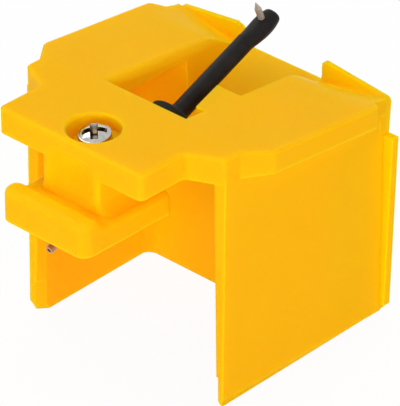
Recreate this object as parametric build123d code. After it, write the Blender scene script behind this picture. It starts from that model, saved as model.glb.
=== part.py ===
from build123d import *
import math
import os

# Replacement stylus for a turntable cartridge, standing upside down on its side walls.
# Millimetres. X = 0 is the mirror plane, +Y points to the needle end, Z = 0 is the walls' lower edge.
# Sizes along Y count from the damper's front centre. The finished pieces move to the middle of the outline.

# Overall height of the moulding; the other heights hang from it
nose_top_z = 15.4
ceiling_drop = 1.25
ear_outer_drop = 1.46
axis_drop = 1.99
notch_floor_drop = 2.25
tab_top_drop = 3.15
rib_top_drop = 3.66
tongue_top_drop = 3.75
tongue_foot_drop = 5.07

# Moulded plate and nose
nose_thick = 1.56
nose_half = 5.2
nose_rear_y = -7.92
nose_front_y = -4.77
wall_rear_half = 7.25
shoulder_rear_y = -3.8
shoulder_front_y = -2.83
plate_half = 8.42
wing_rear_y = -1.35
wing_front_y = 6.8
wing_end_y = 7.3
crease_y = -2.6
plate_slope_deg = 5.33
crease_r = 14.0
crease_tol = 0.03
plate_thick = 1.31
plate_corner_r = 0.32
plate_edge = 0.12

# Side walls and cross wall
wall_rear_y = -4.02
wall_front_half = 7.5
wall_top_thick = 0.85
wall_foot_thick = 0.75
tip_top_thick = 0.8
tip_foot_thick = 0.42
tip_bevel_len = 0.54
foot_bevel_h = 0.56
foot_step_h = 0.4
foot_step_in = 0.3
foot_flat = 0.16
foot_tip_in = 0.22
lead_in_h = 1.9
lead_in_depth = 0.12
cross_top_y = 3.95
cross_foot_y = 4.82
cross_thick = 0.8
cross_corner_r = 0.7
corner_bed = 0.04

# Front wall, ears, notch and side ribs
front_y = 8.77
front_wall_thick = 0.8
ear_thick = 0.4
ear_in = 0.79
ear_rise = 0.13
ear_corner_r = 0.3
fin_thick = 0.24
valley_start_y = 5.7
valley_reach = 1.3
valley_inner_depth = 1.15
valley_outer_depth = 0.34
valley_least_depth = 0.02
valley_pull_share = 1.73
valley_end_share = 0.64
valley_over = 0.2
front_floor_thick = 0.9
rib_foot_z = 1.0
rib_top_half = 8.18
rib_foot_half = 7.83
rib_thick = 0.47

# Window in the plate, and the finger of plastic on its right edge
window_half = 2.85
window_edge_r = 0.5
window_rear_y = -2.1
roll_depth = 2.6
roll_len = 2.7
finger_root_in = 2.2
finger_tip_in = 1.15
finger_rear_y = -0.65
finger_front_y = 2.1

# Grip tab, tongue and web under the nose
web_half = 2.05
web_rear_in = 0.06
web_front_y = -3.63
web_corner_r = 0.2
web_foot_r = 0.85
web_bed = 0.05
scoop_half = 1.95
scoop_depth = 0.6
scoop_rise = 0.9
scoop_foot_drop = 0.35
scoop_steps = 5
flare_start_deg = 15.0
flare_steps = 4
tab_half = 3.1
tab_rear_y = -10.0
tab_lip_len = 0.7
tab_rise_len = 1.35
tab_edge_r = 0.4
tab_corner_r = 0.65

# Needle axis: through the damper's front centre, rising towards the needle end
axis_deg = 22.7

# Damper, cantilever, needle
damper_r = 1.5
damper_low = 0.2
damper_thick = 0.6
damper_edge_r = 0.12
damper_seat_gap = 0.14
tube_r = 0.52
tube_end = 8.38
flare_r = 0.88
flare_len = 0.5
flare_mid_share = 0.35
flare_mid_r = 0.64
flare_gap = 0.06
paddle_half = 0.64
paddle_thick = 1.04
paddle_start = 6.0
paddle_drop = 0.12
paddle_mid_share = 0.45
paddle_far_share = 0.8
paddle_far_width = 0.92
paddle_tip_width = 0.72
paddle_tip_height = 0.7
paddle_end_r = 0.2
needle_at = 7.53
shank_r = 0.19
shank_foot = 0.1
shank_top = 1.13
needle_top = 1.61
diamond_r = 0.175
needle_point_r = 0.02
bond_gap = 0.006
pivot_gap = 0.03

# Magnet, suspension wire, anchor pin
magnet_r = 0.7
magnet_len = 2.0
wire_r = 0.08
wire_socket = 0.3
wire_gap = 0.03
pin_r = 0.24
pin_front = -3.7
pin_rear = -10.31
pin_fit = 0.015
pin_edge = 0.05
pin_show = 0.2
pin_bore_r = 0.12
pin_bore_len = 0.5
seat_bore_r = 1.15
seat_half = 1.6
seat_len = 1.5

# Clamp screw, leaning a little to the needle end
screw_y = -6.07
screw_deg = 9.0
recess_r = 1.47
recess_rim = 0.1
recess_deep = 1.1
head_r = 1.1
head_h = 0.85
head_dome = 0.3
screw_r = 0.6
screw_fit = 0.02
drive_len = 1.3
drive_wide = 0.26
drive_deep = 0.42

# Working margins: how far cuts run past a face, how far joined blocks sink in, and how near counts as equal
cut_over = 1.0
sink = 0.1
same_tol = 0.01

slope = math.tan(math.radians(plate_slope_deg))
ax_c = math.cos(math.radians(axis_deg))
ax_s = math.sin(math.radians(axis_deg))
tilt_c = math.cos(math.radians(screw_deg))
tilt_s = math.sin(math.radians(screw_deg))
ear_half = plate_half - ear_in
nose_under_z = nose_top_z - nose_thick
ceiling_z = nose_top_z - ceiling_drop
ear_outer_z = nose_top_z - ear_outer_drop
axis_z = nose_top_z - axis_drop
notch_floor_z = nose_top_z - notch_floor_drop
tab_top_z = nose_top_z - tab_top_drop
rib_top_z = nose_top_z - rib_top_drop
tongue_top_z = nose_top_z - tongue_top_drop
tongue_foot_z = nose_top_z - tongue_foot_drop


def plate_z(y):
    return nose_top_z - slope * max(0.0, y - crease_y)


def slab_x(points, half):
    face = make_face(Polyline(*[(0, y, z) for y, z in points], close=True))
    return extrude(face, amount=half, dir=(1, 0, 0), both=True)


def plan_face(points, z):
    return make_face(Polyline(*[(x, y, z) for x, y in points], close=True))


def axis_frame(along):
    return Plane(origin=(0, along * ax_c, axis_z + along * ax_s), x_dir=(1, 0, 0), z_dir=(0, ax_c, ax_s))


def axis_rod(radius, start, end):
    return extrude(axis_frame(start) * Circle(radius), amount=end - start, dir=(0, ax_c, ax_s))


def both_sides(shape):
    return shape + mirror(shape, Plane.YZ)


def wall_half(y):
    share = (y - wall_rear_y) / (front_y - ear_thick - wall_rear_y)
    return wall_rear_half + (wall_front_half - wall_rear_half) * share


def right_wall():
    def section(z, outer_in, relief, tip_back=0):
        share = z / ceiling_z
        rear_y = wall_rear_y + (shoulder_rear_y - wall_rear_y) * share + tip_back
        thick = wall_foot_thick + (wall_top_thick - wall_foot_thick) * share
        tip = tip_foot_thick + (tip_top_thick - tip_foot_thick) * share - relief
        tip_in = min(outer_in, tip - foot_flat / 2)
        end_y = front_y - ear_thick
        return plan_face(
            [
                (wall_rear_half - tip_in, rear_y),
                (wall_front_half - outer_in, end_y),
                (wall_front_half - thick, end_y),
                (wall_rear_half - thick, rear_y + tip_bevel_len),
                (wall_rear_half - tip, rear_y),
            ],
            z,
        )

    sole = section(0, wall_foot_thick - foot_flat, lead_in_depth, foot_tip_in)
    ledge = section(foot_step_h, foot_step_in, lead_in_depth)
    edge = section(foot_bevel_h, 0, lead_in_depth)
    foot = loft([sole, ledge], ruled=True) + loft([ledge, edge], ruled=True)
    step = loft([edge, section(lead_in_h, 0, lead_in_depth)], ruled=True)
    body = loft([section(lead_in_h, 0, 0), section(ceiling_z, 0, 0)], ruled=True)
    return foot + step + body


def plate():
    right = [
        (nose_half, nose_rear_y),
        (nose_half, nose_front_y),
        (wall_rear_half, shoulder_rear_y),
        (wall_rear_half, shoulder_front_y),
        (plate_half, wing_rear_y),
        (plate_half, wing_front_y),
        (ear_half, wing_end_y),
        (ear_half, front_y - ear_thick),
    ]
    left = [(-x, y) for x, y in reversed(right)]
    outline = plan_face(right + left, 0)
    rounded = [v for v in outline.vertices() if v.Y < front_y - 2 * ear_thick]
    outline = fillet(rounded, plate_corner_r)
    tall = extrude(outline, amount=nose_top_z + nose_thick)
    top_end = plate_z(front_y)
    profile = [
        (nose_rear_y - cut_over, nose_top_z),
        (crease_y, nose_top_z),
        (front_y, top_end),
        (front_y, top_end - plate_thick),
        (wing_rear_y, plate_z(wing_rear_y) - plate_thick),
        (shoulder_front_y, nose_under_z),
        (nose_rear_y - cut_over, nose_under_z),
    ]
    side = make_face(Polyline(*[(0, y, z) for y, z in profile], close=True))
    crease = side.vertices().sort_by_distance((0, crease_y, nose_top_z))[0]
    side = fillet(crease, crease_r)
    solid = tall & extrude(side, amount=plate_half + cut_over, dir=(1, 0, 0), both=True)
    rim = []
    for edge in solid.edges():
        points = (edge @ 0, edge @ 0.5, edge @ 1)
        on_top = all(abs(p.Z - plate_z(p.Y)) < crease_tol for p in points)
        across = abs(points[0].Y - points[2].Y) < crease_tol and points[1].Y > nose_front_y
        if on_top and not across:
            rim.append(edge)
    return chamfer(rim, plate_edge)


def cross_wall():
    def section(y, z, half):
        flat = half - cross_corner_r
        near = y - cross_corner_r
        bend = cross_corner_r * math.sin(math.radians(45))
        buried = half + foot_flat / 2
        back = y + cross_thick
        face = Line((-flat, y, z), (flat, y, z))
        right = ThreePointArc((flat, y, z), (flat + bend, near + bend, z), (half, near, z))
        left = ThreePointArc((-half, near, z), (-flat - bend, near + bend, z), (-flat, y, z))
        rest = Polyline(
            (half, near, z),
            (buried, near, z),
            (buried, back, z),
            (-buried, back, z),
            (-buried, near, z),
            (-half, near, z),
        )
        return make_face([face, right, rest, left])

    foot_inner = wall_half(cross_foot_y) - wall_foot_thick + corner_bed
    top_inner = wall_half(cross_top_y) - wall_top_thick + corner_bed
    foot = section(cross_foot_y, 0, foot_inner)
    top = section(cross_top_y, ceiling_z, top_inner)
    return loft([foot, top], ruled=True)


def front_wall():
    inner_z = plate_z(front_y) + ear_rise
    right = [
        (0, 0),
        (wall_front_half - wall_foot_thick + foot_flat / 2, 0),
        (wall_front_half - foot_step_in - foot_flat / 2, foot_step_h),
        (wall_front_half, foot_bevel_h + foot_flat / 2),
        (wall_front_half, rib_top_z),
        (ear_half, ear_outer_z),
        (window_half, inner_z),
        (window_half, notch_floor_z),
        (0, notch_floor_z),
    ]
    face = make_face(Polyline(*[(x, front_y, z) for x, z in right], close=True))
    tops = [v for v in face.vertices() if v.Z > ear_outer_z - same_tol]
    face = fillet(tops, ear_corner_r)
    wall = extrude(face, amount=front_wall_thick, dir=(0, -1, 0))
    rib = make_face(
        Polyline(
            (wall_front_half - wall_foot_thick, front_y, rib_foot_z),
            (rib_foot_half, front_y, rib_foot_z),
            (rib_top_half, front_y, rib_top_z),
            (wall_front_half - wall_foot_thick, front_y, rib_top_z),
            close=True,
        )
    )
    return both_sides(wall + extrude(rib, amount=rib_thick, dir=(0, -1, 0)))


def front_floor():
    drop = valley_inner_depth + front_floor_thick
    return slab_x(
        [
            (cross_top_y, ceiling_z),
            (cross_top_y + cross_thick / 2, notch_floor_z - roll_depth - front_floor_thick),
            (cross_top_y + roll_len, notch_floor_z - front_floor_thick),
            (front_y - ear_thick, plate_z(front_y) - drop),
            (front_y - ear_thick, notch_floor_z),
            (valley_start_y, ceiling_z),
        ],
        wall_front_half - wall_foot_thick,
    )


def notch_cut():
    high = nose_top_z + cut_over
    low = notch_floor_z - roll_depth
    roll = Spline(
        (0, cross_top_y, low),
        (0, cross_top_y + roll_len, notch_floor_z),
        tangents=((0, 0, 1), (0, 1, 0)),
    )
    rest = Polyline(
        (0, cross_top_y + roll_len, notch_floor_z),
        (0, front_y + cut_over, notch_floor_z),
        (0, front_y + cut_over, high),
        (0, cross_top_y - cross_thick, high),
        (0, cross_top_y - cross_thick, low),
        (0, cross_top_y, low),
    )
    face = make_face([roll, rest])
    return extrude(face, amount=window_half, dir=(1, 0, 0), both=True)


def valley_cut():
    back = front_y - fin_thick
    level_y = valley_start_y + valley_reach
    high = nose_top_z + cut_over

    def section(x, depth):
        start = (x, valley_start_y, plate_z(valley_start_y))
        level = (x, level_y, plate_z(level_y))
        pull = (x, back, plate_z(back) - depth * valley_pull_share)
        end = (x, back, plate_z(back) - depth * valley_end_share)
        rest = Polyline(end, (x, back, high), (x, valley_start_y, high), start)
        return make_face([Bezier(start, level, pull, end), rest])

    outer = ear_half + cut_over
    fade = (valley_inner_depth - valley_outer_depth) / (ear_half - window_half)
    end_depth = max(valley_least_depth, valley_outer_depth - fade * cut_over)
    inner_section = section(window_half - valley_over, valley_inner_depth)
    right = loft([inner_section, section(outer, end_depth)], ruled=True)
    return both_sides(right)


def window_cut():
    return slab_x(
        [
            (window_rear_y, axis_z),
            (cross_top_y, axis_z),
            (cross_top_y, nose_top_z + cut_over),
            (window_rear_y, nose_top_z + cut_over),
        ],
        window_half,
    )


def window_round():
    high = nose_top_z + cut_over
    length = front_y - window_rear_y
    z = plate_z(window_rear_y)
    inner = window_half - sink
    outer = window_half + window_edge_r
    bend = window_edge_r * (1 - math.sin(math.radians(45)))
    arc = ThreePointArc(
        (window_half, window_rear_y, z - window_edge_r),
        (window_half + bend, window_rear_y, z - bend),
        (outer, window_rear_y, z),
    )
    rest = Polyline(
        (outer, window_rear_y, z),
        (outer, window_rear_y, high),
        (inner, window_rear_y, high),
        (inner, window_rear_y, z - window_edge_r),
        (window_half, window_rear_y, z - window_edge_r),
    )
    slant = math.hypot(length, length * slope)
    right = extrude(make_face([arc, rest]), amount=slant, dir=(0, 1, -slope))
    return mirror(right, Plane.YZ)


def finger():
    root = window_half + sink
    outline = plan_face(
        [
            (root, finger_rear_y),
            (root, finger_front_y),
            (finger_tip_in, finger_front_y),
            (finger_root_in, finger_rear_y),
        ],
        ceiling_z,
    )
    bar = extrude(outline, amount=nose_top_z)
    under_plate = slab_x(
        [
            (finger_rear_y - sink, ceiling_z),
            (finger_front_y + sink, ceiling_z),
            (finger_front_y + sink, plate_z(finger_front_y + sink)),
            (finger_rear_y - sink, plate_z(finger_rear_y - sink)),
        ],
        root + sink,
    )
    return bar & under_plate


def cartridge_room():
    under = axis_z
    return slab_x(
        [
            (shoulder_rear_y, under),
            (cross_top_y, under),
            (cross_top_y, ceiling_z),
            (shoulder_rear_y, ceiling_z),
        ],
        wall_rear_half - wall_top_thick,
    )


def damper_seat():
    front = -(damper_thick + damper_seat_gap)
    rear = front - seat_len

    def at(along, lift):
        return (along * ax_c - lift * ax_s, axis_z + along * ax_s + lift * ax_c)

    block = slab_x(
        [
            at(front, damper_r),
            at(front, -damper_r),
            at(rear, -damper_r),
            (shoulder_rear_y + plate_corner_r, nose_under_z),
            (shoulder_rear_y + plate_corner_r, ceiling_z + plate_corner_r),
            (window_rear_y, ceiling_z + plate_corner_r),
        ],
        seat_half,
    )
    return block


def web():
    rear = nose_rear_y + web_rear_in

    def section(spread, z):
        half = web_half + spread
        outline = plan_face([(half, rear), (half, web_front_y), (-half, web_front_y), (-half, rear)], z)
        rounded = [v for v in outline.vertices() if v.Y < rear + same_tol]
        return fillet(rounded, web_corner_r + spread)

    foot = []
    for step in range(flare_steps + 1):
        share = step / flare_steps
        turn = math.radians(flare_start_deg + (90 - flare_start_deg) * share)
        out = 1 - math.sin(turn)
        up = 1 - math.cos(turn)
        foot.append(section(web_foot_r * out, tongue_top_z + web_foot_r * up - web_bed))
    column = loft([foot[-1], section(0, nose_under_z + web_bed)], ruled=True)
    return loft(foot) + column


def scoop_cut():
    near = nose_rear_y - sink
    far = nose_rear_y - cut_over
    high = nose_under_z + scoop_rise
    low = tongue_top_z - scoop_foot_drop
    sections = []
    for step in range(scoop_steps + 1):
        share = step / scoop_steps
        z = high + (low - high) * share
        bow = (scoop_depth + sink) * math.sin(math.pi * share)
        hollow = Bezier((scoop_half, near, z), (0, near + 2 * bow, z), (-scoop_half, near, z))
        rest = Polyline(
            (-scoop_half, near, z),
            (-scoop_half, far, z),
            (scoop_half, far, z),
            (scoop_half, near, z),
        )
        sections.append(make_face([hollow, rest]))
    return loft(sections)


def tongue():
    lip_y = tab_rear_y + tab_lip_len
    rise_y = lip_y + tab_rise_len
    rise = Spline((0, rise_y, tongue_top_z), (0, lip_y, tab_top_z), tangents=((0, -1, 0), (0, -1, 0)))
    rest = Polyline(
        (0, lip_y, tab_top_z),
        (0, tab_rear_y, tab_top_z),
        (0, tab_rear_y, tongue_foot_z),
        (0, web_front_y, tongue_foot_z),
        (0, web_front_y, tongue_top_z),
        (0, rise_y, tongue_top_z),
    )
    bar = extrude(make_face([rise, rest]), amount=tab_half, dir=(1, 0, 0), both=True)
    rear = [e for e in bar.edges().filter_by(Axis.Z) if (e @ 0.5).Y < lip_y]
    bar = fillet(rear, tab_corner_r)

    rim = []
    for edge in bar.edges():
        points = (edge @ 0, edge @ 0.5, edge @ 1)
        on_top = all(p.Z > tongue_top_z - same_tol for p in points)
        across = abs(points[0].Y - points[2].Y) < same_tol
        if on_top and (not across or points[1].Y < tab_rear_y + same_tol):
            rim.append(edge)
    return fillet(rim, tab_edge_r)


def screw_frame(deep):
    return Plane(
        origin=(0, screw_y + deep * tilt_s, nose_top_z - deep * tilt_c),
        x_dir=(1, 0, 0),
        z_dir=(0, -tilt_s, tilt_c),
    )


def screw_rod(radius, top, foot):
    return extrude(screw_frame(foot) * Circle(radius), amount=foot - top, dir=(0, -tilt_s, tilt_c))


rise = ax_s / ax_c
lean = math.radians(axis_deg - screw_deg)
pin_depth = (nose_top_z - axis_z - screw_y * rise) / (tilt_c + tilt_s * rise)
screw_foot = pin_depth - (pin_r + pin_fit) / math.cos(lean) - screw_r * math.tan(lean)

walls = both_sides(right_wall())
holder = plate() + walls + front_wall()
holder = holder - cartridge_room()
holder = holder + cross_wall() + front_floor()
holder = holder - window_cut() - window_round() - notch_cut() - valley_cut()
holder = holder + finger() + damper_seat() + web() - scoop_cut() + tongue()
holder = holder - axis_rod(seat_bore_r, pin_front - pin_show, 0)
holder = holder - axis_rod(pin_r + pin_fit, pin_rear, pin_front + cut_over)
holder = holder - screw_rod(recess_r, -cut_over, recess_deep)
ovals = [e for e in holder.edges() if e.geom_type == GeomType.ELLIPSE]
rim = [e for e in ovals if e.center().Z > nose_top_z - same_tol]
holder = chamfer(rim, recess_rim)
holder = holder - screw_rod(screw_r + screw_fit, recess_deep - sink, pin_depth)


def lift_frame(along, lift):
    y = along * ax_c - lift * ax_s
    z = axis_z + along * ax_s + lift * ax_c
    return Plane(origin=(0, y, z), x_dir=(1, 0, 0), z_dir=(0, -ax_s, ax_c))


def lift_rod(radius, along, low, high):
    return extrude(lift_frame(along, low) * Circle(radius), amount=high - low, dir=(0, -ax_s, ax_c))


def screw():
    head_top = recess_deep - head_h
    rim = head_top + head_dome
    head = screw_rod(head_r, rim, recess_deep)
    bulge = (head_r * head_r + head_dome * head_dome) / (2 * head_dome)
    ball = screw_frame(head_top + bulge) * Sphere(bulge)
    dome = ball & screw_rod(head_r, head_top - head_dome, rim)
    stand = (Align.CENTER, Align.CENTER, Align.MIN)
    slot = screw_frame(head_top + drive_deep) * Box(drive_len, drive_wide, cut_over, align=stand)
    turned = screw_frame(head_top + drive_deep) * Box(drive_wide, drive_len, cut_over, align=stand)
    shank = screw_rod(screw_r, recess_deep, screw_foot - pin_fit)
    return head + dome + shank - slot - turned


def damper():
    flat = axis_frame(-damper_thick) * Pos(0, damper_low) * Circle(damper_r)
    disc = extrude(flat, amount=damper_thick, dir=(0, ax_c, ax_s))
    rims = [e for e in disc.edges() if e.geom_type == GeomType.CIRCLE]
    bore = axis_rod(tube_r + pivot_gap, -damper_thick - cut_over, cut_over)
    return chamfer(rims, damper_edge_r) - bore


def cantilever():
    rod = axis_rod(tube_r, -damper_thick - damper_seat_gap, paddle_start)
    root = axis_frame(paddle_start) * Circle(tube_r)
    flare_foot = axis_frame(flare_gap) * Circle(flare_r)
    flare_mid = axis_frame(flare_gap + flare_len * flare_mid_share) * Circle(flare_mid_r)
    flare_top = axis_frame(flare_gap + flare_len) * Circle(tube_r)
    flare = loft([flare_foot, flare_mid, flare_top])
    reach = tube_end - paddle_start
    high = paddle_thick / 2

    def oval(share, width, height):
        return axis_frame(paddle_start + reach * share) * Pos(0, paddle_drop) * Ellipse(width, height)

    middle = oval(paddle_mid_share, paddle_half, high)
    far = oval(paddle_far_share, paddle_half * paddle_far_width, high)
    tip = oval(1, paddle_half * paddle_tip_width, high * paddle_tip_height)
    paddle = loft([root, middle, far, tip])
    end = paddle.faces().sort_by(Axis.Y)[-1]
    paddle = fillet(end.edges(), paddle_end_r)
    socket = lift_rod(shank_r + bond_gap, needle_at, shank_foot - bond_gap, needle_top)
    return rod + flare + paddle - socket


def diamond():
    foot = lift_frame(needle_at, shank_top + bond_gap) * Circle(diamond_r)
    point = lift_frame(needle_at, needle_top) * Circle(needle_point_r)
    return loft([foot, point])


def anchor_pin():
    rod = axis_rod(pin_r, pin_rear, pin_front)
    ends = [e for e in rod.edges() if e.geom_type == GeomType.CIRCLE]
    rod = chamfer(ends, pin_edge)
    rod = rod - axis_rod(wire_r + bond_gap, pin_front - wire_socket - bond_gap, pin_front + wire_socket)
    return rod - axis_rod(pin_bore_r, pin_rear - pin_r, pin_rear + pin_bore_len)


magnet_front = -damper_thick - damper_seat_gap - bond_gap
magnet_rear = magnet_front - magnet_len

nodes = {
    "stylus_holder": holder,
    "clamp_screw": screw(),
    "anchor_pin": anchor_pin(),
    "suspension_wire": axis_rod(wire_r, pin_front - wire_socket, magnet_rear - wire_gap),
    "damper": damper(),
    "cantilever": cantilever(),
    "magnet": axis_rod(magnet_r, magnet_rear, magnet_front),
    "stylus_shank": lift_rod(shank_r, needle_at, shank_foot, shank_top),
    "diamond_tip": diamond(),
}

to_middle = Pos(0, -(tab_rear_y + front_y) / 2, 0)

os.makedirs("parts", exist_ok=True)
for name, shape in nodes.items():
    export_step(to_middle * shape, "parts/" + name + ".step")
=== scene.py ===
import logging
import math
from dataclasses import dataclass
from enum import Enum
from typing import Any

import bpy
from mathutils import Matrix, Vector


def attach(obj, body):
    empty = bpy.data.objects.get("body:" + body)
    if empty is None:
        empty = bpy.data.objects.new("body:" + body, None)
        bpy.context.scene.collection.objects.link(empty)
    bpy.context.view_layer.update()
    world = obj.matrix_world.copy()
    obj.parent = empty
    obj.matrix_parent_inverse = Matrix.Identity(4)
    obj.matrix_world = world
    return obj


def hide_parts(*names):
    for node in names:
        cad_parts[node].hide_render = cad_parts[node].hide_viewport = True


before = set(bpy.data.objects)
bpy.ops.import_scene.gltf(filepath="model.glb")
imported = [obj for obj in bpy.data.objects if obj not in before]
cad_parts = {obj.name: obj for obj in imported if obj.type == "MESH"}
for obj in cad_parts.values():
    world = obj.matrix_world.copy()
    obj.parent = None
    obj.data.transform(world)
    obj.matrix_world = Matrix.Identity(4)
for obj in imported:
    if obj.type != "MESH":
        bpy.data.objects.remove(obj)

log = logging.getLogger("stylus")

MM = 0.001
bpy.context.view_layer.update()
WHITE = (1.0, 1.0, 1.0, 1.0)

Colour = tuple[float, float, float]
Place = tuple[float, float, float]
Limits = tuple[float, float]
Socket = bpy.types.NodeSocket


class Grain(Enum):
    """How a metal was worked, given as the grain's length along X, Y and Z."""

    POLISHED = (1.0, 1.0, 1.0)
    DRAWN = (1.0, 14.0, 6.0)
    GROUND = (8.0, 1.0, 1.0)


class Graph:
    """A small helper that adds and links the shader nodes of one material or world."""

    # The Mix node repeats its socket names for each kind of data, so the colour ones go by number.
    MIX_SHARE = 0
    MIX_FIRST = 6
    MIX_SECOND = 7
    MIX_RESULT = 2

    # Nearly all of a noise's values lie in this range.
    NOISE_LOW = 0.3
    NOISE_HIGH = 0.7

    # Rays that feel how shut in a point is.
    ROOM_SAMPLES = 8

    def __init__(self, tree: bpy.types.NodeTree) -> None:
        """Empties the tree and keeps it."""
        self.tree = tree
        tree.nodes.clear()

    def add(
        self, kind: str, inputs: dict[str, Any] | None = None, **settings: Any
    ) -> bpy.types.Node:
        """Adds one node.

        Args:
            kind: Blender's node type name.
            inputs: Socket name to a value, or to another node's output socket.
            settings: Properties set on the node itself.

        Returns:
            The new node.
        """
        node = self.tree.nodes.new(kind)
        for name, value in settings.items():
            setattr(node, name, value)
        for name, value in (inputs or {}).items():
            self.feed(node.inputs[name], value)
        return node

    def feed(self, socket: Socket, value: Any) -> None:
        """Sets a socket to a value, or links an output socket to it.

        Args:
            socket: The input socket.
            value: A plain value, or another node's output socket.
        """
        if isinstance(value, Socket):
            self.tree.links.new(value, socket)
        else:
            socket.default_value = value

    def math(self, operation: str, first: Any, second: Any) -> Socket:
        """Adds a Math node.

        Args:
            operation: Blender's name of the sum.
            first: Value or socket.
            second: Value or socket.

        Returns:
            The node's output.
        """
        node = self.add("ShaderNodeMath", operation=operation)
        self.feed(node.inputs[0], first)
        self.feed(node.inputs[1], second)
        return node.outputs[0]

    def noise(
        self, size: float, detail: float = 3.0, stretch: Place = Grain.POLISHED.value
    ) -> Socket:
        """Adds a noise that lies fixed in the part's own frame.

        Args:
            size: Length of one grain in metres.
            detail: Octaves of finer grain.
            stretch: How much longer the grain is along X, Y and Z.

        Returns:
            The noise value, about 0 to 1.
        """
        place = self.add("ShaderNodeTexCoord").outputs["Object"]
        squeeze = tuple(1.0 / length for length in stretch)
        mapped = self.add("ShaderNodeMapping", {"Vector": place, "Scale": squeeze}).outputs[0]
        grain = {"Vector": mapped, "Scale": 1.0 / size, "Detail": detail}
        return self.add("ShaderNodeTexNoise", grain).outputs["Fac"]

    def span(self, value: Socket, low: float, high: float) -> Socket:
        """Stretches the middle range of a noise to a range of one's own.

        Args:
            value: The noise.
            low: What the noise's low end becomes.
            high: What the noise's high end becomes.

        Returns:
            The stretched value.
        """
        reach = {"From Min": self.NOISE_LOW, "From Max": self.NOISE_HIGH, "To Min": low, "To Max": high}
        return self.add("ShaderNodeMapRange", {"Value": value, **reach}).outputs[0]

    def mix(self, share: Any, first: Any, second: Any) -> Socket:
        """Adds a colour mix.

        Args:
            share: Value or socket, 0 for the first colour and 1 for the second.
            first: Colour of four numbers, or a socket.
            second: Colour of four numbers, or a socket.

        Returns:
            The mixed colour.
        """
        node = self.add("ShaderNodeMix", data_type="RGBA")
        self.feed(node.inputs[self.MIX_SHARE], share)
        self.feed(node.inputs[self.MIX_FIRST], first)
        self.feed(node.inputs[self.MIX_SECOND], second)
        return node.outputs[self.MIX_RESULT]

    def bump(self, height: Socket, strength: float, depth: float) -> bpy.types.Node:
        """Adds a fine grain to the way the surface faces.

        Args:
            height: The grain's noise.
            strength: How much of the grain shows, 0 to 1.
            depth: The grain's depth in metres.

        Returns:
            The bump node.
        """
        grain = {"Strength": strength, "Distance": depth, "Height": height}
        return self.add("ShaderNodeBump", grain)

    def shut_in(self, reach: float, open_room: float, shut_room: float) -> Socket:
        """Adds a measure of how shut in a point of the surface is.

        Args:
            reach: How far off a wall still counts, in metres.
            open_room: The free share of the surroundings at which the measure is 0.
            shut_room: The free share of the surroundings at which the measure is 1.

        Returns:
            The measure, 0 to 1.
        """
        room = self.add(
            "ShaderNodeAmbientOcclusion",
            {"Distance": reach},
            samples=self.ROOM_SAMPLES,
            only_local=True,
        )
        free = {"Value": room.outputs["AO"], "From Min": open_room, "From Max": shut_room}
        return self.add("ShaderNodeMapRange", free).outputs[0]

    def on_view(self, unseen: float, seen: float) -> Socket:
        """Adds a value that differs for rays of the camera, of reflections and through clear stuff.

        Args:
            unseen: The value for rays that only carry light.
            seen: The value for the rays that show the thing itself.

        Returns:
            The value.
        """
        path = self.add("ShaderNodeLightPath").outputs
        shown = self.math("MAXIMUM", path["Is Camera Ray"], path["Is Glossy Ray"])
        shown = self.math("MAXIMUM", shown, path["Is Transmission Ray"])
        ends = {"Value": shown, "To Min": unseen, "To Max": seen}
        return self.add("ShaderNodeMapRange", ends).outputs[0]


def with_alpha(colour: Colour) -> tuple[float, float, float, float]:
    """Gives a colour the fourth number that Blender's sockets need."""
    return (*colour, 1.0)


def new_material(name: str) -> tuple[bpy.types.Material, Graph]:
    """Makes an empty node material.

    Args:
        name: The finish's plain name.

    Returns:
        The material and its graph.
    """
    material = bpy.data.materials.new(name)
    material.use_nodes = True
    return material, Graph(material.node_tree)


def close_material(graph: Graph, shader: bpy.types.Node) -> None:
    """Links a shader to the material's output."""
    graph.add("ShaderNodeOutputMaterial", {"Surface": shader.outputs[0]})


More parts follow.
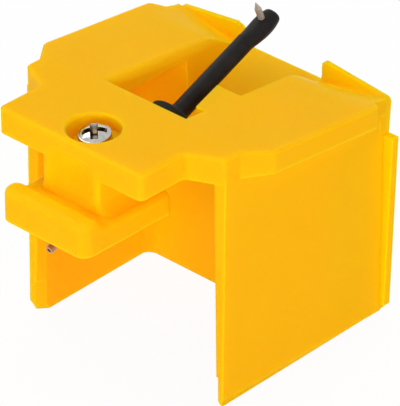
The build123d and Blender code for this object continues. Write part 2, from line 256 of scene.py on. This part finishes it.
@dataclass(frozen=True)
class AmberMoulding:
    """Translucent yellow moulded plastic with a soft sheen, and a warmer painted shade in its hollows."""

    name: str = "amber_moulding"
    body: Colour = (0.845, 0.443, 0.005)
    deep: Colour = (0.845, 0.43, 0.004)
    cloud_size: float = 4.0 * MM
    # Painted shade: the warmer, darker orange that the hollows are tinted, within this reach of the part's
    # own walls.
    hollow_shade: Colour = (1.0, 0.53, 0.002)
    hollow_shade_reach: float = 6.0 * MM
    open_room: float = 0.97
    shut_room: float = 0.6
    scatter_reach: float = 1.1 * MM
    scatter_share: Colour = (1.0, 0.6, 0.05)
    roughness: Limits = (0.34, 0.44)
    refraction: float = 1.49
    gloss: float = 0.015
    flow_size: float = 1.2 * MM
    flow_detail: float = 4.0
    flow_stretch: Place = (1.0, 3.0, 1.0)
    edge_radius: float = 0.16 * MM
    edge_samples: int = 6
    grain_size: float = 0.07 * MM
    grain_detail: float = 2.0
    grain_height: float = 0.0016 * MM
    grain_strength: float = 0.35

    def colour(self, graph: Graph) -> Socket:
        """Mixes the clouded body colour with a warmer, darker painted shade where the part's own walls shut
        a point in.

        Args:
            graph: The material's graph.

        Returns:
            The colour.
        """
        cloud = graph.span(graph.noise(self.cloud_size), 0.0, 1.0)
        clouded = graph.mix(cloud, with_alpha(self.body), with_alpha(self.deep))
        # Painted shade: tints the colour towards the hollows' orange where the part's own walls shut the
        # point in.
        shut = graph.shut_in(self.hollow_shade_reach, self.open_room, self.shut_room)
        return graph.mix(shut, clouded, with_alpha(self.hollow_shade))

    def facing(self, graph: Graph) -> Socket:
        """Rounds the sharp edges and adds the mould's fine grain.

        Args:
            graph: The material's graph.

        Returns:
            The way the surface faces.
        """
        soft = graph.add("ShaderNodeBevel", {"Radius": self.edge_radius}, samples=self.edge_samples)
        grain = graph.noise(self.grain_size, self.grain_detail)
        bump = graph.bump(grain, self.grain_strength, self.grain_height)
        graph.feed(bump.inputs["Normal"], soft.outputs[0])
        return bump.outputs[0]

    def material(self) -> bpy.types.Material:
        """Builds the shader: clouded colour with painted shade in the hollows, scattering, rounded edges
        and a fine mould grain.

        Returns:
            The finish.
        """
        made, graph = new_material(self.name)
        flow = graph.noise(self.flow_size, self.flow_detail, self.flow_stretch)
        shader = graph.add(
            "ShaderNodeBsdfPrincipled",
            {
                "Base Color": self.colour(graph),
                "Roughness": graph.span(flow, *self.roughness),
                "Normal": self.facing(graph),
                "IOR": self.refraction,
                "Subsurface Weight": 1.0,
                "Subsurface Radius": self.scatter_share,
                "Subsurface Scale": self.scatter_reach,
                "Specular IOR Level": self.gloss,
            },
        )
        close_material(graph, shader)
        return made


@dataclass(frozen=True)
class WorkedMetal:
    """A bare or plated metal with the grain of how it was made, and a dark painted shade where it is shut
    in.
    """

    name: str
    colour: Colour
    tarnish: Colour
    roughness: Limits
    grain: Grain
    bareness: float = 1.0
    grain_size: float = 0.03 * MM
    grain_height: float = 0.0006 * MM
    grain_strength: float = 0.2
    stain_size: float = 0.36 * MM
    # Painted shade: the dark brown that recesses, such as the screw's cross, are tinted within this reach.
    recess_shade: Colour = (0.11, 0.065, 0.028)
    recess_shade_reach: float = 0.5 * MM
    open_room: float = 0.9
    shut_room: float = 0.5

    def material(self) -> bpy.types.Material:
        """Builds the shader: a metal whose colour and gloss follow its grain, darkened by painted shade in
        its recesses.

        Returns:
            The finish.
        """
        made, graph = new_material(self.name)
        grain = graph.noise(self.grain_size, stretch=self.grain.value)
        stain = graph.span(graph.noise(self.stain_size), 0.0, 1.0)
        clean = graph.mix(stain, with_alpha(self.colour), with_alpha(self.tarnish))
        # Painted shade: how much of the dark recess colour a shut-in point gets.
        recess_shade_share = graph.shut_in(self.recess_shade_reach, self.open_room, self.shut_room)
        bump = graph.bump(grain, self.grain_strength, self.grain_height)
        shader = graph.add(
            "ShaderNodeBsdfPrincipled",
            {
                "Base Color": graph.mix(recess_shade_share, clean, with_alpha(self.recess_shade)),
                "Metallic": self.bareness,
                "Roughness": graph.span(grain, *self.roughness),
                "Normal": bump.outputs[0],
            },
        )
        close_material(graph, shader)
        return made


@dataclass(frozen=True)
class DarkCoat:
    """A black surface, either lacquered tube or rubber."""

    name: str
    colour: Colour
    worn: Colour
    worn_size: float
    roughness: Limits
    grain_size: float
    grain_height: float
    grain_strength: float = 0.4
    gloss: float = 0.1

    def material(self) -> bpy.types.Material:
        """Builds the shader: near-black with a fine grain and slightly greyer rubbed patches.

        Returns:
            The finish.
        """
        made, graph = new_material(self.name)
        grain = graph.noise(self.grain_size)
        rubbed = graph.span(graph.noise(self.worn_size), 0.0, 1.0)
        bump = graph.bump(grain, self.grain_strength, self.grain_height)
        shader = graph.add(
            "ShaderNodeBsdfPrincipled",
            {
                "Base Color": graph.mix(rubbed, with_alpha(self.colour), with_alpha(self.worn)),
                "Roughness": graph.span(grain, *self.roughness),
                "Normal": bump.outputs[0],
                "Specular IOR Level": self.gloss,
            },
        )
        close_material(graph, shader)
        return made


@dataclass(frozen=True)
class CutDiamond:
    """The smoky grey stone of the needle's point."""

    name: str = "cut_diamond"
    colour: Colour = (0.33, 0.3, 0.27)
    clearness: float = 0.15
    refraction: float = 2.4
    cloud_size: float = 0.1 * MM
    roughness: Limits = (0.12, 0.25)

    def material(self) -> bpy.types.Material:
        """Builds the shader: a smoky stone with a faint cloud in it.

        Returns:
            The finish.
        """
        made, graph = new_material(self.name)
        shader = graph.add(
            "ShaderNodeBsdfPrincipled",
            {
                "Base Color": with_alpha(self.colour),
                "Roughness": graph.span(graph.noise(self.cloud_size), *self.roughness),
                "IOR": self.refraction,
                "Transmission Weight": self.clearness,
            },
        )
        close_material(graph, shader)
        return made


def dress_node(node: str, material: bpy.types.Material) -> None:
    """Gives a CAD node its finish.

    Args:
        node: The node's name in the frame.
        material: The finish.
    """
    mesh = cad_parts[node].data
    mesh.materials.clear()
    mesh.materials.append(material)
    log.info("dressed %s in %s", node, material.name)


@dataclass
class Holder:
    """The yellow moulding that carries everything else."""

    finish: AmberMoulding = AmberMoulding()

    def dress(self) -> None:
        """Gives the moulding its translucent plastic."""
        dress_node("stylus_holder", self.finish.material())


@dataclass
class ClampScrew:
    """The domed, cross-recessed screw that leans in the nose's round recess.

    Depths run down the screw's axis from the mouth of the recess. The cross gets deeper by its taper
    from the arms' ends and by its wall from the arms' sides, down to the depth of its floor.
    """

    mouth: Place = (0.0, -5.45 * MM, 15.4 * MM)
    lean: float = math.radians(9.0)
    crown_depth: float = 0.06 * MM
    rim_depth: float = 0.34 * MM
    rim_round: float = 0.07 * MM
    rim_steps: int = 5
    seat_depth: float = 1.1 * MM
    foot_depth: float = 3.85 * MM
    head_radius: float = 0.9 * MM
    shank_radius: float = 0.6 * MM
    cross_turn: float = math.radians(45.0)
    cross_half_length: float = 0.68 * MM
    cross_half_width: float = 0.21 * MM
    cross_depth: float = 0.55 * MM
    cross_taper: float = 1.5
    cross_wall: float = 5.0
    rings: int = 80
    segments: int = 240
    chrome: WorkedMetal = WorkedMetal(
        name="screw_chrome",
        colour=(0.54, 0.53, 0.5),
        tarnish=(0.44, 0.42, 0.39),
        roughness=(0.08, 0.16),
        grain=Grain.POLISHED,
    )

    def place(self, across: float, along: float, up: float) -> Vector:
        """Turns a point of the screw's own frame, whose up is its axis, into the part's frame."""
        sine, cosine = math.sin(self.lean), math.cos(self.lean)
        return Vector(self.mouth) + Vector((across, along * cosine - up * sine, along * sine + up * cosine))

    def drive(self, across: float, along: float) -> float:
        """Gives how deep the cross recess is below the dome at a point.

        Args:
            across: The point's X in the screw's frame.
            along: The point's Y in the screw's frame.

        Returns:
            The depth in metres, 0 outside the cross.
        """
        sine, cosine = math.sin(self.cross_turn), math.cos(self.cross_turn)
        first = abs(across * cosine + along * sine)
        second = abs(along * cosine - across * sine)
        depth = 0.0
        for run, side in ((first, second), (second, first)):
            from_end = (self.cross_half_length - run) * self.cross_taper
            from_side = (self.cross_half_width - side) * self.cross_wall
            depth = max(depth, min(from_end, from_side))
        return min(depth, self.cross_depth)

    def profile(self) -> list[tuple[float, float]]:
        """Follows the screw's outline from the crown over the dome and the rim to the foot.

        Returns:
            The radius and the depth of each ring.
        """
        flat = self.head_radius - self.rim_round
        fall = self.rim_depth - self.crown_depth
        outline = []
        for ring in range(1, self.rings + 1):
            outline.append((flat * ring / self.rings, self.crown_depth + fall * (ring / self.rings) ** 2))
        for step in range(1, self.rim_steps + 1):
            turn = math.radians(90.0) * step / self.rim_steps
            drop = self.rim_round * (1.0 - math.cos(turn))
            outline.append((flat + self.rim_round * math.sin(turn), self.rim_depth + drop))
        outline.append((self.head_radius, self.seat_depth))
        outline.append((self.shank_radius, self.seat_depth))
        outline.append((self.shank_radius, self.foot_depth))
        return outline

    def points(self, outline: list[tuple[float, float]]) -> list[Vector]:
        """Places the crown's middle and the points of each ring, with the cross sunk into the dome.

        Args:
            outline: The radius and the depth of each ring.

        Returns:
            The points, ring after ring.
        """
        points = [self.place(0.0, 0.0, -self.crown_depth - self.drive(0.0, 0.0))]
        for radius, depth in outline:
            for segment in range(self.segments):
                turn = math.tau * segment / self.segments
                across, along = radius * math.cos(turn), radius * math.sin(turn)
                sunk = self.drive(across, along) if depth < self.rim_depth else 0.0
                points.append(self.place(across, along, -depth - sunk))
        return points

    def faces(self, rings: int) -> list[tuple[int, ...]]:
        """Joins the rings, with a fan of triangles at the crown and one face at the foot.

        Args:
            rings: How many rings there are.

        Returns:
            The faces, as the numbers of their points.
        """
        count = self.segments
        starts = [1 + ring * count for ring in range(rings)]
        pairs = [(i, (i + 1) % count) for i in range(count)]
        faces = [(0, 1 + i, 1 + j) for i, j in pairs]
        for upper, lower in zip(starts, starts[1:]):
            faces += [(upper + i, lower + i, lower + j, upper + j) for i, j in pairs]
        faces.append(tuple(starts[-1] + i for i in reversed(range(count))))
        return faces

    def build(self) -> bpy.types.Object:
        """Builds the screw as rings round its axis.

        Returns:
            The screw, which stands for the CAD node.
        """
        outline = self.profile()
        mesh = bpy.data.meshes.new("screw")
        mesh.from_pydata(self.points(outline), [], self.faces(len(outline)))
        mesh.shade_smooth()
        screw = bpy.data.objects.new("screw", mesh)
        bpy.context.collection.objects.link(screw)
        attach(screw, "holder")
        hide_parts("clamp_screw")
        return screw

    def dress(self) -> None:
        """Builds the screw and plates it."""
        screw = self.build()
        screw.data.materials.append(self.chrome.material())
        log.info("built %s and dressed it in %s", screw.name, self.chrome.name)


@dataclass
class Hardware:
    """The anchor pin and the wire."""

    copper: WorkedMetal = WorkedMetal(
        name="copper_pin",
        colour=(0.6, 0.33, 0.22),
        tarnish=(0.46, 0.24, 0.16),
        roughness=(0.25, 0.4),
        grain=Grain.DRAWN,
    )
    steel: WorkedMetal = WorkedMetal(
        name="wire_steel",
        colour=(0.6, 0.6, 0.6),
        tarnish=(0.5, 0.5, 0.5),
        roughness=(0.2, 0.35),
        grain=Grain.DRAWN,
    )

    def dress(self) -> None:
        """Gives each metal piece its finish."""
        dress_node("anchor_pin", self.copper.material())
        dress_node("suspension_wire", self.steel.material())


@dataclass
class NeedleArm:
    """The damper, the cantilever and what it carries."""

    coat: DarkCoat = DarkCoat(
        name="cantilever_black",
        colour=(0.009, 0.008, 0.0075),
        worn=(0.015, 0.013, 0.012),
        worn_size=0.54 * MM,
        roughness=(0.32, 0.46),
        grain_size=0.06 * MM,
        grain_height=0.002 * MM,
    )
    rubber: DarkCoat = DarkCoat(
        name="damper_rubber",
        colour=(0.01, 0.009, 0.009),
        worn=(0.016, 0.015, 0.014),
        worn_size=0.45 * MM,
        roughness=(0.55, 0.7),
        grain_size=0.05 * MM,
        grain_height=0.004 * MM,
    )
    magnet: WorkedMetal = WorkedMetal(
        name="magnet_grey",
        colour=(0.3, 0.3, 0.31),
        tarnish=(0.24, 0.24, 0.25),
        roughness=(0.3, 0.45),
        grain=Grain.GROUND,
    )
    shank: WorkedMetal = WorkedMetal(
        name="shank_steel",
        colour=(0.36, 0.325, 0.285),
        tarnish=(0.28, 0.25, 0.22),
        roughness=(0.35, 0.5),
        grain=Grain.GROUND,
        bareness=0.3,
    )
    stone: CutDiamond = CutDiamond()

    def dress(self) -> None:
        """Gives each piece of the arm its finish."""
        dress_node("damper", self.rubber.material())
        dress_node("cantilever", self.coat.material())
        dress_node("magnet", self.magnet.material())
        dress_node("stylus_shank", self.shank.material())
        dress_node("diamond_tip", self.stone.material())


@dataclass(frozen=True)
class SoftLamp:
    """A square soft lamp.

    Its radiance is 1 where its face is as bright as the white background, and polished metal shows
    it only if it is mirrored.
    """

    name: str
    place: Place
    side: float
    radiance: float
    mirrored: bool

    def hang(self, target: Vector) -> None:
        """Hangs the lamp.

        Args:
            target: The point that it faces.
        """
        data = bpy.data.lights.new(self.name, "AREA")
        data.size = self.side
        data.energy = self.radiance * math.pi * self.side * self.side
        lamp = bpy.data.objects.new(self.name, data)
        lamp.location = self.place
        lamp.visible_glossy = self.mirrored
        lamp.rotation_euler = (target - Vector(self.place)).to_track_quat("-Z", "Y").to_euler()
        bpy.context.collection.objects.link(lamp)


@dataclass
class Studio:
    """White surroundings, soft lamps and the camera.

    The sensor and the lens are in millimetres, as Blender takes them. The image's width, and how far
    the target lies to the left of its middle and above it, are in the photograph's pixels.
    """

    target: Place = (0.0, 1.615 * MM, 9.4 * MM)
    azimuth: float = math.radians(43.564)
    elevation: float = math.radians(31.244)
    roll: float = math.radians(-0.24)
    distance: float = 224.2 * MM
    nearest: float = 22.42 * MM
    farthest: float = 2242.0 * MM
    sensor: float = 36.0
    lens: float = 375.7
    image_width: float = 400.0
    target_left: float = 12.39
    target_above: float = 28.29
    floor_half: float = 400.0 * MM
    floor_grey: Colour = (0.9, 0.9, 0.9)
    floor_glow: float = 0.4
    floor_white: float = 0.94
    ambient: float = 0.44
    background: float = 1.0
    bounces: int = 24
    lamps: tuple[SoftLamp, ...] = (
        SoftLamp("camera_side", (240.0 * MM, -250.0 * MM, 110.0 * MM), 300.0 * MM, 2.5, True),
        SoftLamp("soft_key", (120.0 * MM, -310.0 * MM, 60.0 * MM), 200.0 * MM, 2.6, False),
        SoftLamp("top_light", (50.0 * MM, 20.0 * MM, 340.0 * MM), 240.0 * MM, 1.5, False),
        SoftLamp("left_fill", (-200.0 * MM, -20.0 * MM, 280.0 * MM), 200.0 * MM, 2.3, True),
        SoftLamp("back_fill", (-120.0 * MM, 330.0 * MM, 100.0 * MM), 200.0 * MM, 1.8, False),
    )

    def floor_finish(self) -> bpy.types.Material:
        """Mixes a grey that takes shade with plain white, which has the larger share in the camera.

        Returns:
            The floor's finish.
        """
        made, graph = new_material("pale_floor")
        plain = graph.add("ShaderNodeBsdfDiffuse", {"Color": with_alpha(self.floor_grey)})
        white = graph.add("ShaderNodeEmission", {"Color": WHITE, "Strength": self.background})
        share = graph.on_view(self.floor_glow, self.floor_white)
        shader = graph.add("ShaderNodeMixShader", {"Fac": share})
        graph.feed(shader.inputs[1], plain.outputs[0])
        graph.feed(shader.inputs[2], white.outputs[0])
        close_material(graph, shader)
        return made

    def floor(self) -> None:
        """Lays the pale floor, which the camera sees as white but for the object's own shade."""
        mesh = bpy.data.meshes.new("floor")
        half = self.floor_half
        corners = [(-half, -half, 0.0), (half, -half, 0.0), (half, half, 0.0), (-half, half, 0.0)]
        mesh.from_pydata(corners, [], [(0, 1, 2, 3)])
        mesh.materials.append(self.floor_finish())
        floor = bpy.data.objects.new("floor", mesh)
        bpy.context.collection.objects.link(floor)

    def world(self) -> None:
        """Sets a dimmer light all round, which the camera sees as plain white."""
        scene = bpy.context.scene
        scene.world = bpy.data.worlds.new("white_room")
        scene.world.use_nodes = True
        graph = Graph(scene.world.node_tree)
        strength = graph.on_view(self.ambient, self.background)
        room = graph.add("ShaderNodeBackground", {"Color": WHITE, "Strength": strength})
        graph.add("ShaderNodeOutputWorld", {"Surface": room.outputs[0]})

    def light(self) -> None:
        """Hangs the soft lamps, and lets light bounce on inside the pale moulding's hollows."""
        for lamp in self.lamps:
            lamp.hang(Vector(self.target))
        cycles = bpy.context.scene.cycles
        cycles.max_bounces = self.bounces
        cycles.diffuse_bounces = self.bounces

    def camera(self) -> None:
        """Sets the camera at the photograph's angle and framing."""
        data = bpy.data.cameras.new("camera")
        data.sensor_fit = "HORIZONTAL"
        data.sensor_width = self.sensor
        data.lens = self.lens
        data.shift_x = self.target_left / self.image_width
        data.shift_y = -self.target_above / self.image_width
        data.clip_start = self.nearest
        data.clip_end = self.farthest
        level = math.cos(self.elevation)
        right, forward = math.sin(self.azimuth) * level, math.cos(self.azimuth) * level
        back = Vector((right, -forward, math.sin(self.elevation)))
        turn = (-back).to_track_quat("-Z", "Y").to_matrix() @ Matrix.Rotation(self.roll, 3, "Z")
        camera = bpy.data.objects.new("camera", data)
        spot = Vector(self.target) + back * self.distance
        camera.matrix_world = Matrix.Translation(spot) @ turn.to_4x4()
        bpy.context.collection.objects.link(camera)
        bpy.context.scene.camera = camera

    def build(self) -> None:
        """Builds the whole studio."""
        bpy.context.scene.view_settings.view_transform = "Standard"
        self.floor()
        self.world()
        self.light()
        self.camera()
        log.info("studio ready")


def main() -> None:
    """Builds the studio and dresses each sub-assembly in order."""
    logging.basicConfig(level=logging.INFO, format="%(name)s: %(message)s")
    Studio().build()
    for piece in (Holder(), ClampScrew(), Hardware(), NeedleArm()):
        piece.dress()


if __name__ == "__main__":
    main()
